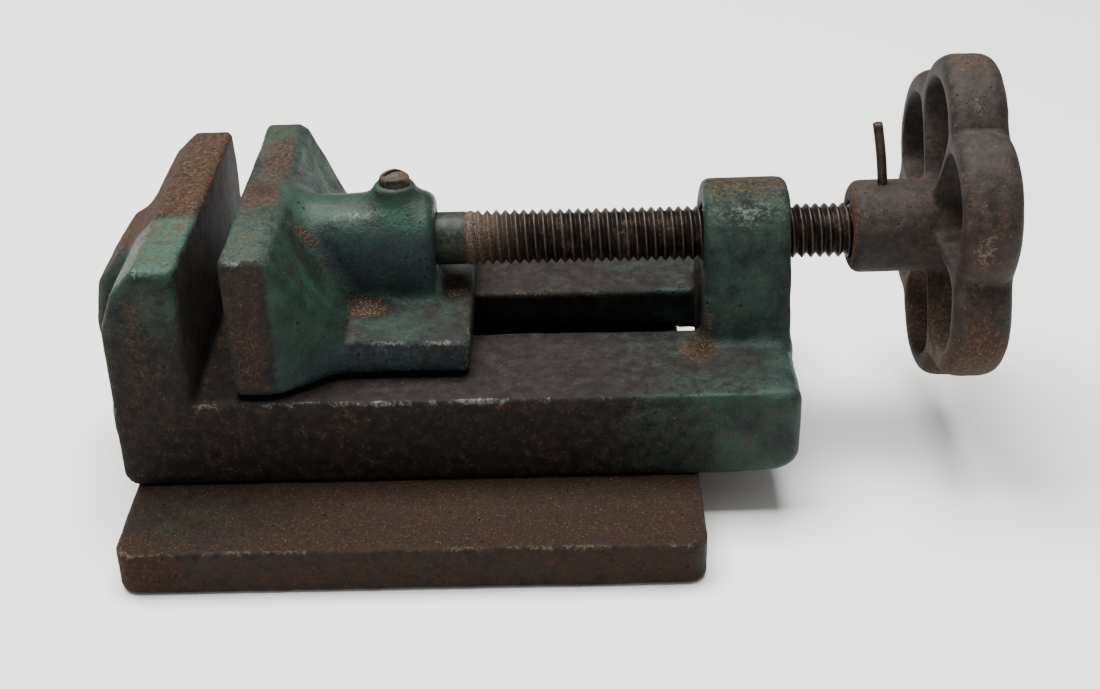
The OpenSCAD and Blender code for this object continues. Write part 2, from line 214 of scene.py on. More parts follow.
def surface(field, axes, rough):
    """Skin, outward directions, how sharply each point bends outwards as an edge does, and how
    deep it lies between walls. rough is a list of [bump size, height] in mm, which roughen the
    skin as a sand mould does."""
    points, faces = skin(field, axes)
    cell = axes[0].flat[1] - axes[0].flat[0]
    out = np.stack([sample(field, axes, points + step) - sample(field, axes, points - step)
                    for step in np.eye(3) * cell], 1)
    out /= np.linalg.norm(out, axis=1)[:, None] + 1e-9
    here = sample(field, axes, points)
    bend = sum(sample(field, axes, points + step) + sample(field, axes, points - step) - 2 * here
               for step in np.eye(3) * cell) / cell ** 2
    reach = 6.0
    wide = 1 - sample(field, axes, points + reach * out) / reach
    for seed, (size, height) in enumerate(rough):
        points = points + out * (lumps(points, size, seed) * height)[:, None]
    return points, faces, out, np.clip(bend, 0, 1), np.clip(wide, 0, 1)


def piece(name, points, faces, material, body, slot, replaced, **marks):
    mesh = bpy.data.meshes.new(name)
    mesh.from_pydata((points * MM).tolist(), [], faces)
    for mark, values in marks.items():
        layer = mesh.attributes.new(mark, "FLOAT", "POINT")
        layer.data.foreach_set("value", np.asarray(values, np.float32))
    mesh.materials.append(material)
    mesh.polygons.foreach_set("use_smooth", [True] * len(mesh.polygons))
    made = bpy.data.objects.new(name, mesh)
    scene.collection.objects.link(made)
    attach(made, body)
    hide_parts(*replaced)
    return made


class Shader:
    """A material under construction, with short names for the nodes that the finishes share"""

    def __init__(self, name):
        self.material = bpy.data.materials.new(name)
        self.material.use_nodes = True
        self.tree = self.material.node_tree
        self.surface = self.tree.nodes["Principled BSDF"]
        self.surface.inputs["Specular IOR Level"].default_value = 0.22
        place = self.tree.nodes.new("ShaderNodeTexCoord")
        self.place = self.vector_op("SCALE", place.outputs["Object"], 1 / MM)

    def vector_op(self, how, vector, factor):
        """A vector operation that takes one vector and one number or vector"""
        node = self.tree.nodes.new("ShaderNodeVectorMath")
        node.operation = how
        self.set(node.inputs[0], vector)
        self.set(node.inputs["Scale" if how == "SCALE" else 1], factor)
        return node.outputs[0]

    def set(self, socket, value):
        """Links a socket to another node's output, or gives it a plain value"""
        if isinstance(value, bpy.types.NodeSocket):
            self.tree.links.new(value, socket)
        else:
            socket.default_value = value

    def math(self, how, a, b=0.0):
        node = self.tree.nodes.new("ShaderNodeMath")
        node.operation = how
        self.set(node.inputs[0], a)
        self.set(node.inputs[1], b)
        return node.outputs[0]

    def noise(self, size, detail=4.0, rough=0.6, turn=0.0):
        """Cloudy noise from 0 to 1 whose largest lumps are about size mm; turn picks another"""
        node = self.tree.nodes.new("ShaderNodeTexNoise")
        self.set(node.inputs["Vector"], self.vector_op("ADD", self.place, (turn, turn * 0.7, -turn)))
        node.inputs["Scale"].default_value = 1 / size
        node.inputs["Detail"].default_value = detail
        node.inputs["Roughness"].default_value = rough
        return node.outputs["Fac"]

    def specks(self, size, turn=0.0):
        """Distance from scattered points about size mm apart, 0 at each point"""
        node = self.tree.nodes.new("ShaderNodeTexVoronoi")
        self.set(node.inputs["Vector"], self.vector_op("ADD", self.place, (turn, -turn, turn * 0.6)))
        node.inputs["Scale"].default_value = 1 / size
        return node.outputs["Distance"]

    def mark(self, name):
        node = self.tree.nodes.new("ShaderNodeAttribute")
        node.attribute_name = name
        return node.outputs["Fac"]

    def step(self, value, low, high, at_low=0.0, at_high=1.0):
        """A smooth rise from at_low to at_high as value goes from low to high"""
        node = self.tree.nodes.new("ShaderNodeMapRange")
        node.interpolation_type = "SMOOTHSTEP"
        self.set(node.inputs["Value"], value)
        for socket, number in zip(("From Min", "From Max", "To Min", "To Max"),
                                  (low, high, at_low, at_high)):
            node.inputs[socket].default_value = number
        return node.outputs["Result"]

    def broken(self, amount, *clouds):
        """amount, from 0 to 1, turned into patches with ragged edges by [noise, weight] clouds"""
        for cloud, weight in clouds:
            shifted = self.math("MULTIPLY", self.math("SUBTRACT", cloud, 0.5), weight)
            amount = self.math("ADD", amount, shifted)
        return self.step(amount, 0.36, 0.68)

    def mix(self, share, a, b):
        """Colour a where share is 0 and b where it is 1"""
        node = self.tree.nodes.new("ShaderNodeMix")
        node.data_type = "RGBA"
        self.set(node.inputs["Factor"], share)
        self.set(node.inputs["A"], a)
        self.set(node.inputs["B"], b)
        return node.outputs["Result"]

    def blend(self, share, a, b):
        """Number a where share is 0 and b where it is 1"""
        node = self.tree.nodes.new("ShaderNodeMix")
        self.set(node.inputs["Factor"], share)
        self.set(node.inputs["A"], a)
        self.set(node.inputs["B"], b)
        return node.outputs["Result"]

    def finish(self, base, roughness, metallic, height, depth):
        """Sets the surface; height, from 0 to 1, stands depth mm proud"""
        bump = self.tree.nodes.new("ShaderNodeBump")
        bump.inputs["Distance"].default_value = depth * MM
        self.set(bump.inputs["Height"], height)
        self.set(self.surface.inputs["Base Color"], base)
        self.set(self.surface.inputs["Roughness"], roughness)
        self.set(self.surface.inputs["Metallic"], metallic)
        self.set(self.surface.inputs["Normal"], bump.outputs["Normal"])
        return self.material


def weathered_iron(name, grime, paint, pale, rust, bare, gloss):
    """Iron that has lost its paint to wear. Each point of the piece says how much paint is left, how
    pale and how cold it is, how rusty the iron is, how much metal shows through, and where rust
    powder lies: the noise breaks those up into patches. The metal showing through also stands in
    for the lamp's glint on edges and bands, as painted highlight. grime, paint, pale and rust are
    pairs of colours, and gloss is the shine of what paint is left."""
    s = Shader(name)
    s.surface.inputs["Specular IOR Level"].default_value = gloss
    wide, middle = s.noise(9), s.noise(2.6, 6, 0.65, 31)
    fine, grit = s.noise(0.8, 5, 0.7, 57), s.noise(0.3, 3, 0.7, 11)
    paint_left = s.broken(s.mark("paint"), (wide, 0.4), (middle, 0.6), (fine, 0.5), (grit, 0.3))
    paint_pale = s.broken(s.mark("pale"), (middle, 0.4), (fine, 0.6), (grit, 0.3))
    rusted = s.broken(s.mark("rust"), (wide, 0.4), (middle, 0.8), (fine, 0.8), (grit, 0.3))
    worn_and_glinting = s.broken(s.mark("bare"), (middle, 0.7), (fine, 0.9), (grit, 0.4))
    under = s.mix(s.step(middle, 0.3, 0.7), colour(grime[0]), colour(grime[1]))
    coat = s.mix(s.step(wide, 0.3, 0.7), colour(paint[0]), colour(paint[1]))
    blotch = s.step(fine, 0.3, 0.7)
    coat = s.mix(s.mark("cold"), coat, s.mix(blotch, colour("#1b1f1f"), colour("#28353a")))
    coat = s.mix(paint_pale, coat, s.mix(blotch, colour(pale[0]), colour(pale[1])))
    red = s.mix(s.step(fine, 0.4, 0.75), colour(rust[0]), colour(rust[1]))
    base = s.mix(s.math("MULTIPLY", paint_left, 0.92), under, coat)
    base = s.mix(s.math("MULTIPLY", rusted, 0.9), base, red)
    powder = s.broken(s.mark("powder"), (middle, 0.5), (fine, 0.7), (grit, 0.9))
    grains = s.mix(s.step(s.specks(0.55, 5), 0.42, 0.2), colour("#2e231b"), colour("#6a5440"))
    base = s.mix(powder, base, grains)
    # Pale metal where the paint is gone. The same mark also paints highlights where the lamp glints on
    # edges and bands.
    base = s.mix(s.math("MULTIPLY", worn_and_glinting, 0.72), base, colour(bare))
    pits = s.step(s.specks(2.3, 8), 0.2, 0.1)
    pits = s.math("MULTIPLY", pits, s.step(middle, 0.5, 0.6))
    base = s.mix(s.math("MULTIPLY", pits, 0.75), base, colour("#060505"))
    dust = s.math("MULTIPLY", s.step(s.specks(1.1, 3), 0.17, 0.09), s.step(fine, 0.5, 0.6))
    base = s.mix(s.math("MULTIPLY", dust, 0.55), base, colour("#6a6a58"))
    roughness = s.blend(paint_left, 0.66, s.step(fine, 0.3, 0.7, 0.3, 0.5))
    roughness = s.blend(worn_and_glinting, s.blend(s.math("MAXIMUM", rusted, powder), roughness, 0.88), 0.4)
    height = s.math("ADD", s.math("MULTIPLY", middle, 0.5), s.math("MULTIPLY", fine, 0.32))
    height = s.math("ADD", height, s.math("MULTIPLY", grit, s.blend(rusted, 0.08, 0.16)))
    height = s.math("ADD", height, s.math("MULTIPLY", paint_left, 0.12))
    height = s.math("ADD", height, s.math("MULTIPLY", s.math("MULTIPLY", powder, grit), 0.5))
    height = s.math("SUBTRACT", height, s.math("MULTIPLY", pits, 0.4))
    return s.finish(base, roughness, s.math("MULTIPLY", worn_and_glinting, 0.25), height, 0.5)


def rubbed_and_glinting(points, edge, seed):
    """1 on outer edges, where handling rubs the finish away and where a rounded edge catches the
    lamp, so it marks metal showing through and a painted glint at once, in stretches of chance length
    """
    return ease((edge - 0.2) / 0.5) * np.clip(0.8 + 0.5 * lumps(points, 6, seed), 0, 1)


def blob(points, centre, radii):
    """1 at centre, falling smoothly to 0 on an egg of those radii, in mm"""
    away = np.linalg.norm((points - centre) / np.array(radii, float), axis=1)
    return ease(1 - away)


plate_lo, plate_hi = corners("base_plate")
plate_r, plate_edge_r, plate_inset = 4.5, 1.1, 0.2
axes = open_axes(plate_lo, plate_hi, 0.75)
x, y, z = axes
sides = both(within(x, plate_lo[0] + plate_inset, plate_hi[0] - plate_inset),
             within(y, plate_lo[1] + plate_inset, plate_hi[1] - plate_inset), plate_r)
field = both(sides, within(z, plate_lo[2] + 0.22, plate_hi[2] - 0.12), plate_edge_r)
for screw in [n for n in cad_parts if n.startswith("plate_screw")]:
    lo, hi = corners(screw)
    across = np.hypot(x - (lo[0] + hi[0]) / 2, y - (lo[1] + hi[1]) / 2)
    head_r, shank_r = (hi[0] - lo[0]) / 2 + 0.1, 3.3
    field = less(field, np.minimum(across - shank_r, (across - head_r + z) * 0.7), 0.3)
points, faces, out, edge, wide = surface(field, axes, [[14, 0.1], [4, 0.08], [1.8, 0.05]])
top = ease((out[:, 2] - 0.3) * 2)
front = ease((-out[:, 1] - 0.3) * 2)
rust = 0.3 + 0.06 * top + 0.3 * wide + 0.5 * blob(points, (-60, -62, 5), (14, 12, 12))
left_patch = blob(points, (-50, -52, 11), (30, 22, 9))
plate_iron = weathered_iron("rusty_plate", ("#1e1815", "#302823"), ("#1b201b", "#2d3226"),
                            ("#3c3d26", "#55502f"), ("#2b201a", "#4a3527"), "#6f675b", 0.1)
# Along the plate's upper edges the metal shows through, and that pale line also paints the lamp's glint,
# a painted highlight.
piece("plate_of_flat_bar", points, faces, plate_iron, "base", "plate_steel", ["base_plate"],
      paint=0.22 + 0.35 * left_patch - 0.25 * front + 0.5 * blob(points, (63, -64, 6), (8, 6, 10)),
      pale=0.32 + 0 * top, rust=rust - 0.3 * left_patch,
      cold=0 * top, powder=0.26 + 0.25 * wide - 0.1 * front,
      bare=0.02 + 0.42 * rubbed_and_glinting(points, edge, 21) * ease((out[:, 2] + 0.2) * 2))


# Plate screws.
# Four steel countersunk screws hold the plate to the bed from below. Their heads sit a little
# inside the plate's underside, slot down, and nobody sees them unless the vise is turned over.
def new_tree(name, **sizes):
    """A Geometry Nodes tree with one named input for each size, and the nodes at its ends"""
    tree = bpy.data.node_groups.new(name, "GeometryNodeTree")
    tree.interface.new_socket("Geometry", in_out="INPUT", socket_type="NodeSocketGeometry")
    for size, value in sizes.items():
        tree.interface.new_socket(size, in_out="INPUT", socket_type="NodeSocketFloat")
    tree.interface.new_socket("Geometry", in_out="OUTPUT", socket_type="NodeSocketGeometry")
    return tree, tree.nodes.new("NodeGroupInput"), tree.nodes.new("NodeGroupOutput")


def grown(name, points, faces, tree, sizes, body, replaced):
    """A plain mesh from a Geometry Nodes tree that works on the given points and faces"""
    mesh = bpy.data.meshes.new(name + "_start")
    mesh.from_pydata((np.asarray(points) * MM).tolist(), [], faces)
    start = bpy.data.objects.new(name + "_start", mesh)
    scene.collection.objects.link(start)
    modifier = start.modifiers.new("tree", "NODES")
    modifier.node_group = tree
    for item in tree.interface.items_tree:
        if item.in_out == "INPUT" and item.name in sizes:
            modifier[item.identifier] = float(sizes[item.name])
    seen = start.evaluated_get(bpy.context.evaluated_depsgraph_get())
    made = bpy.data.objects.new(name, bpy.data.meshes.new_from_object(seen))
    made.data.name = name
    start.modifiers.remove(modifier)
    bpy.data.objects.remove(start)
    made.data.polygons.foreach_set("use_smooth", [True] * len(made.data.polygons))
    scene.collection.objects.link(made)
    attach(made, body)
    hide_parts(*replaced)
    return made


def dark_steel(name, dark, light, rust, rusted, gloss):
    """Turned steel that has gone brown: oil film, specks of rust and a little bright metal"""
    s = Shader(name)
    cloud, fine, grit = s.noise(3.0), s.noise(0.7, 5, 0.7, 12), s.noise(0.22, 3, 0.7, 40)
    base = s.mix(s.step(cloud, 0.35, 0.65), colour(dark), colour(light))
    red = s.broken(rusted, (cloud, 0.9), (fine, 0.9))
    base = s.mix(red, base, s.mix(s.step(grit, 0.4, 0.6), colour(rust[0]), colour(rust[1])))
    height = s.math("ADD", s.math("MULTIPLY", fine, 0.5), s.math("MULTIPLY", grit, 0.4))
    return s.finish(base, s.blend(red, gloss, 0.85), s.blend(red, 0.55, 0.0), height, 0.12)


def screw_tree(name, material):
    """A slotted screw, head down, on each point: a turned cone and shank less a sawn slot"""
    tree, given, result = new_tree(name, head_r=1, shank_r=1, head_h=1, length=1, slot=1)
    nodes, link = tree.nodes, tree.links.new

    def size(name):
        return given.outputs[name]

    def sum_of(how, a, b):
        node = nodes.new("ShaderNodeMath")
        node.operation = how
        for socket, value in zip(node.inputs, (a, b)):
            if isinstance(value, bpy.types.NodeSocket):
                link(value, socket)
            else:
                socket.default_value = value
        return node.outputs[0]

    def moved(mesh, z):
        node, place = nodes.new("GeometryNodeTransform"), nodes.new("ShaderNodeCombineXYZ")
        link(mesh, node.inputs["Geometry"])
        link(z, place.inputs["Z"])
        link(place.outputs[0], node.inputs["Translation"])
        return node.outputs[0]

    head = nodes.new("GeometryNodeMeshCone")
    head.inputs["Vertices"].default_value = 48
    link(sum_of("MULTIPLY", size("shank_r"), 0.9), head.inputs["Radius Top"])
    link(size("head_r"), head.inputs["Radius Bottom"])
    link(size("head_h"), head.inputs["Depth"])
    shank = nodes.new("GeometryNodeMeshCylinder")
    shank.inputs["Vertices"].default_value = 48
    link(size("shank_r"), shank.inputs["Radius"])
    low = sum_of("MULTIPLY", size("head_h"), 0.6)
    link(sum_of("SUBTRACT", size("length"), low), shank.inputs["Depth"])
    middle = sum_of("MULTIPLY", sum_of("ADD", size("length"), low), 0.5)
    whole = nodes.new("GeometryNodeMeshBoolean")
    whole.operation = "UNION"
    whole.solver = "EXACT"
    link(head.outputs["Mesh"], whole.inputs["Mesh 2"])
    link(moved(shank.outputs["Mesh"], middle), whole.inputs["Mesh 2"])
    saw, saw_size = nodes.new("GeometryNodeMeshCube"), nodes.new("ShaderNodeCombineXYZ")
    link(sum_of("MULTIPLY", size("head_r"), 3.0), saw_size.inputs["X"])
    link(size("slot"), saw_size.inputs["Y"])
    link(sum_of("MULTIPLY", size("slot"), 2.4), saw_size.inputs["Z"])
    link(saw_size.outputs[0], saw.inputs["Size"])
    sawn = nodes.new("GeometryNodeMeshBoolean")
    sawn.operation = "DIFFERENCE"
    sawn.solver = "EXACT"
    link(whole.outputs["Mesh"], sawn.inputs["Mesh 1"])
    link(saw.outputs["Mesh"], sawn.inputs["Mesh 2"])
    welded = nodes.new("GeometryNodeMergeByDistance")
    welded.inputs["Distance"].default_value = 0.01 * MM
    link(sawn.outputs["Mesh"], welded.inputs["Geometry"])
    place = nodes.new("GeometryNodeInstanceOnPoints")
    link(given.outputs["Geometry"], place.inputs["Points"])
    link(welded.outputs["Geometry"], place.inputs["Instance"])
    real, painted = nodes.new("GeometryNodeRealizeInstances"), nodes.new("GeometryNodeSetMaterial")
    painted.inputs["Material"].default_value = material
    link(place.outputs[0], real.inputs[0])
    link(real.outputs[0], painted.inputs["Geometry"])
    link(painted.outputs[0], result.inputs["Geometry"])
    return tree


def screws(name, nodes, head_h, tree, body):
    """One piece for like screws: a point at the middle of each head's low face, sized by its node"""
    boxes = [corners(n) for n in nodes]
    lo, hi = boxes[0]
    points = [((a[0] + b[0]) / 2, (a[1] + b[1]) / 2, a[2]) for a, b in boxes]
    head_r = (hi[0] - lo[0]) / 2 - 0.05
    sizes = {"head_r": head_r, "shank_r": min(3.1, 0.95 * head_r), "head_h": head_h,
             "length": hi[2] - lo[2], "slot": 1.5}
    made = grown(name, points, [], tree, {k: v * MM for k, v in sizes.items()}, body, nodes)
    made.data.polygons.foreach_set("use_smooth", [False] * len(made.data.polygons))
    return made


hidden_steel = dark_steel("hidden_steel", "#1b1714", "#2a2521", ("#2c1b12", "#4b2f1c"), 0.42, 0.45)
slotted = screw_tree("slotted_screw", hidden_steel)
screws("plate_screws", sorted(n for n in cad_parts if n.startswith("plate_screw")), 3.0,
       slotted, "base")


# Bed, fixed jaw and lug.
# One grey iron casting, painted green long ago: a hollow bed with a slotted deck, the fixed jaw
# with a buttress on its back, and the bored lug that is the screw's nut. Only deck and slot were
# machined. The paint survives best at the lug and the right end, away from the work.
def outline(u, v, points, r):
    """Distance from a closed outline drawn through the centres of its corners' rounds, radius r"""
    near, inside = 1e9, False
    for (au, av), (bu, bv) in zip(points, points[1:] + points[:1]):
        eu, ev = bu - au, bv - av
        t = np.clip(((u - au) * eu + (v - av) * ev) / (eu * eu + ev * ev), 0, 1)
        near = np.minimum(near, np.hypot(u - au - eu * t, v - av - ev * t))
        if ev:
            inside = inside ^ (((av > v) != (bv > v)) & (u < (v - av) * eu / ev + au))
    return np.where(inside, -near, near) - r


body_lo, body_hi = corners("vise_body")
jaw_lo, jaw_hi = corners("sliding_jaw")
screw_lo, screw_hi = corners("lead_screw")
wheel_lo, wheel_hi = corners("handwheel")
axis_z = (screw_lo[2] + screw_hi[2]) / 2
screw_r = (screw_hi[2] - screw_lo[2]) / 2
rib_out, fixed_t, lug_t, fixed_h = 8.6, 18, 20, 32.9
bed_x0, bed_x1 = body_lo[0] + rib_out, body_hi[0]
bed_hw, bed_z0, fixed_z = body_hi[1], body_lo[2], body_hi[2]
deck_z, fixed_x, lug_x = fixed_z - fixed_h, bed_x0 + fixed_t, bed_x1 - lug_t
deck_t, wall_t, slot_hw, slot_land = 9.2, 10, 9.8, 2.5
inset = 0.2
axes = open_axes(body_lo, body_hi, 0.86)
x, y, z = axes
right_end = ease((x - 70) / 12)
bed = both(-(x - bed_x0) + inset, z - deck_z, 1.0)
bed = both(bed, x - bed_x1 + inset, 2.6)
bed = both(bed, bed_z0 - z, 3.5 + 2 * right_end)
bed = both(bed, np.abs(y) - bed_hw + inset, 1.0 + 1.8 * right_end)
r = 1.6
jaw_side = outline(x, z, [(fixed_x - r, deck_z - 6), (fixed_x - r, fixed_z - r),
                          (fixed_x - 8.4, fixed_z - r), (bed_x0 + 3.1 + r, fixed_z - 4.8 - r),
                          (bed_x0 + r, fixed_z - 13 - r), (bed_x0 + r, deck_z - 6)], r - 0.1)
end_r = 1.7 + 1.5 * ease((z - fixed_z + 9) / 8)
fixed_jaw = both(jaw_side, np.abs(y) - bed_hw + inset, end_r)
r, out_x, top = 3.2, body_lo[0] + 3.2, fixed_z - 7.8 - 3.2
rib_side = outline(x, z, [(bed_x0 + 4, top), (out_x + 5.6, top - 1.4), (out_x + 1.6, top - 6.4),
                          (out_x, top - 15.4), (out_x + 1, deck_z - 6), (bed_x0 + 4, deck_z - 10)],
                   r - inset)
rib = both(rib_side, np.abs(y) - 14, 3.2)
r, ring_r, lug_foot = 2.8, 10.0, 19.3 - 2.8
ring = [(ring_r * math.cos(a), axis_z + ring_r * math.sin(a)) for a in np.linspace(0, math.pi, 13)]
lug_face = outline(y, z, [(lug_foot, deck_z - 6)] + ring + [(-lug_foot, deck_z - 6)], r)
lug = both(lug_face, within(x, lug_x, bed_x1 - inset), 2.1)
field = either(either(bed, fixed_jaw, 0.9), rib, 3.0)
field = either(field, lug, 2.2)
hollow = both(both(within(x, bed_x0 + wall_t, bed_x1 - wall_t), np.abs(y) - bed_hw + wall_t, 3),
              z - deck_z + deck_t + 1.7 * ease((x - 59.5) / 2.5), 2)
slot = both(both(within(x, fixed_x + slot_land, lug_x - 0.2), np.abs(y) - slot_hw, 0.6),
            within(z, deck_z - deck_t - 4, deck_z + 4), 0.6)
field = less(less(field, hollow, 0.8), slot, 0.55)
bored = less(field, np.hypot(y, z - axis_z) - screw_r - 0.4, 0.6)
field = np.where(x > lug_x - 8, bored, field)
for chip_y, chip_r in ((-6, 1.7), (-2.5, 1.3), (3, 1.9), (11, 1.2), (24, 1.4)):
    chip = np.sqrt((x - fixed_x - 0.9) ** 2 + ((y - chip_y) / 1.6) ** 2 + (z - fixed_z - 0.6) ** 2)
    field = less(field, chip - chip_r, 0.5)
points, faces, out, edge, wide = surface(field, axes, [[11, 0.16], [4.5, 0.1], [1.9, 0.05]])
px, py, pz = points.T
up, near_side = np.clip(out[:, 2], 0, 1), np.clip(-out[:, 1], 0, 1)
on_jaw = ease((fixed_x + 1.5 - px) / 2) * ease((pz - deck_z - 1) / 4)
on_lug = ease((px - lug_x + 2) / 3) * ease((pz - deck_z - 1) / 4)
on_bed = (1 - on_jaw) * (1 - on_lug)
to_right = ease((px - 5) / 75)
paint = 0.14 + 0.55 * to_right * near_side + 0.34 * up * (0.35 + 0.65 * ease((px - 10) / 60))
paint *= on_bed
paint += on_lug * (0.64 - 0.12 * up) + 0.35 * ease((px - 75) / 10) * on_bed
jaw_top = on_jaw * up
paint += on_jaw * (0.36 + 0.2 * near_side * ease((pz - 36) / 20))
paint += jaw_top * (0.6 * ease((-6 - py) / 10) - 0.1)
pale = 0.1 + jaw_top * 0.55 * ease((-8 - py) / 8) + on_lug * up * 0.5
inner_face = on_jaw * np.clip(out[:, 0], 0, 1)
rust = 0.12 + 0.2 * on_lug + 0.35 * wide * (1 - inner_face) + 0.15 * inner_face
rust += jaw_top * (0.1 + 0.48 * ease((py + 15) / 14)) + (0.12 * up + 0.03 * near_side) * on_bed
rust += 0.55 * blob(points, (lug_x - 2, -20, deck_z + 3), (7, 9, 12))
rust += 0.2 * blob(points, (-58, -40, 50), (5, 4, 22)) + 0.3 * on_jaw * np.clip(-out[:, 0], 0, 1)
# The deck's front top edge, the fixed jaw's near top edge and the band on the lug's round shoulder come
# out pale. This is partly metal showing through the paint and partly painted highlight, where the lamp
# glints.
rub_and_glint = rubbed_and_glinting(points, edge, 22)
bare = 0.03 + rub_and_glint * (0.1 + 0.38 * on_bed * ease((pz - deck_z + 3) / 2) * ease((70 - px) / 40))
bare += 0.75 * rub_and_glint * blob(points, (bed_x0 + 9, -bed_hw, fixed_z), (13, 7, 7))
bare += 0.5 * on_lug * blob(points, (lug_x + 10, -9, axis_z + 9), (15, 7, 5))
bare -= 0.1 * to_right * near_side
powder = 0.06 + 0.5 * blob(points, (lug_x - 1, -19, deck_z + 2), (6, 8, 9))
powder += 0.3 * blob(points, (fixed_x, 10, fixed_z), (9, 24, 3)) + 0.1 * up * on_bed
body_iron = weathered_iron("green_casting", ("#171311", "#292220"), ("#17211d", "#283d35"),
                           ("#2d4338", "#40594b"), ("#2c2019", "#5c4733"), "#6a7068", 0.12)
piece("bed_and_fixed_jaw", points, faces, body_iron, "base", "green_casting", ["vise_body"],
      paint=paint, pale=pale, rust=rust, bare=bare, powder=powder, cold=0.25 * on_lug * (1 - up))


# Sliding jaw.
# The second casting: a jaw wall with a sloping back, a foot that slides on the deck, and the
# boss that holds the screw's nose. Its ends sweep in to the foot in an ogee, as its pattern was
# carved. It keeps more paint than the bed, and rust powder lies in its corners.
face_x, foot_x, slide_hw, pad_z = jaw_lo[0], jaw_hi[0], jaw_hi[1], jaw_hi[2]
slide_z, foot_z, foot_hw, boss_x, boss_r = fixed_z + 1.4, deck_z + 9.3, 29.8, 4.4, 11.2
under = deck_z + 0.15
axes = open_axes(jaw_lo, jaw_hi, 0.62)
x, y, z = axes
r = 1.4
top_x, slope_x = face_x + 10.4, face_x + 24.4
profile = outline(x, z, [(face_x + r, under + 0.4), (face_x + r, slide_z - r),
                         (top_x - 2.4, slide_z - r), (top_x - 0.9, slide_z - r - 0.8),
                         (slope_x - 0.6, foot_z - r + 0.6),
                         (foot_x - r, foot_z - r), (foot_x - r, under + 0.4)], r - 0.1)
under_r = 0.3 + 2.1 * ease((np.abs(y) - foot_hw - 1) / 5)
profile = both(profile, under - z, under_r)
sweep = np.clip((x - face_x - 7.6) / 17.8, 0, 1)
half_width = foot_hw + (slide_hw - inset - foot_hw) * (1 + np.cos(math.pi * sweep)) / 2
lean = 0.7 * np.sin(math.pi * sweep)
sides = (np.abs(y) - half_width) / np.sqrt(1 + lean ** 2)
low_corner = 1.6 + 2.0 * ease((deck_z + 6 - z) / 6)
wall = both(both(profile, sides, low_corner), x - foot_x + 0.1, 3)
barrel = np.hypot(y, z - axis_z) - boss_r + 0.1
stem = both(np.abs(y) - boss_r + 0.1, z - axis_z, 0.01)
boss = both(np.minimum(barrel, np.maximum(stem, foot_z - 2 - z)), x - boss_x, 2.6)
boss = np.maximum(boss, face_x + 4 - x)
ret_lo, ret_hi = corners("retaining_screw")
ret_x = (ret_lo[0] + ret_hi[0]) / 2
pad = (np.hypot(x - ret_x, y) - 4.4 - 0.46 * (pad_z - z)) * 0.9
pad = both(both(pad, z - pad_z + 0.1, 0.7), axis_z + 4 - z, 0.5)
field = either(wall, boss, 3.2)
field = either(field, pad, 2.2)
tongue = both(both(within(x, face_x + 5.2, face_x + 49.2), np.abs(y) - 9.6, 0.6),
              within(z, jaw_lo[2], deck_z + 4), 0.5)
field = np.minimum(field, tongue)
nose_bore = np.maximum(np.hypot(y, z - axis_z) - screw_r - 0.2, -17 - x)
field = less(field, nose_bore, 0.5)
points, faces, out, edge, wide = surface(field, axes, [[9, 0.16], [3.6, 0.1], [1.6, 0.05]])
px, py, pz = points.T
up, near_side = np.clip(out[:, 2], 0, 1), np.clip(-out[:, 1], 0, 1)
on_wall = ease((pz - foot_z - 1) / 5)
on_boss = ease((boss_r + 2 - np.abs(py)) / 2) * ease((px - face_x - 12) / 4) * on_wall
on_foot = ease((foot_z + 1.5 - pz) / 3) * ease((px - face_x - 14) / 10)
wall_top = ease((pz - slide_z + 8) / 6) * up
flare = near_side * ease((12 - np.abs(px - face_x - 16)) / 8)
slope = np.clip(out[:, 0], 0, 1) * up
paint = 0.66 + 0.2 * flare - 0.05 * on_foot * near_side + 0.12 * on_boss
paint -= 0.4 * near_side * ease((face_x + 11.5 - px) / 3) + 0.34 * on_foot * up + 0.14 * slope
pale = 0.1 + wall_top * (0.22 + 0.18 * ease((-12 - py) / 8)) - 0.1 * on_foot * up
rust = 0.1 + 0.75 * np.maximum(wide - 0.25, 0) + 0.4 * up * on_foot + 0.14 * slope
rust += 0.06 * near_side * ease((face_x + 8 - px) / 4) + 0.3 * on_boss * ease((axis_z - 2 - pz) / 8)
for weight, centre, radii in ((0.6, (slope_x - 6, -12, foot_z + 1), (9, 8, 7)),
                              (0.25, (slope_x, -24, foot_z + 1), (8, 12, 5)),
                              (0.35, (ret_x, 0, pad_z - 2), (8, 8, 3)),
                              (0.6, (face_x + 3, -5, slide_z), (9, 9, 4)),
                              (0.3, (face_x + 7, 14, slide_z), (8, 20, 4))):
    rust += weight * blob(points, centre, radii)
# The foot's near top edge and the jaw's near upright edge come out pale, as metal showing through and as
# painted glint.
rub_and_glint = rubbed_and_glinting(points, edge, 23)
bare = 0.03 + rub_and_glint * (0.12 + 0.5 * on_foot * ease((-20 - py) / 5))
bare += 0.5 * rub_and_glint * blob(points, (face_x + 4, -slide_hw, slide_z), (7, 5, 5))
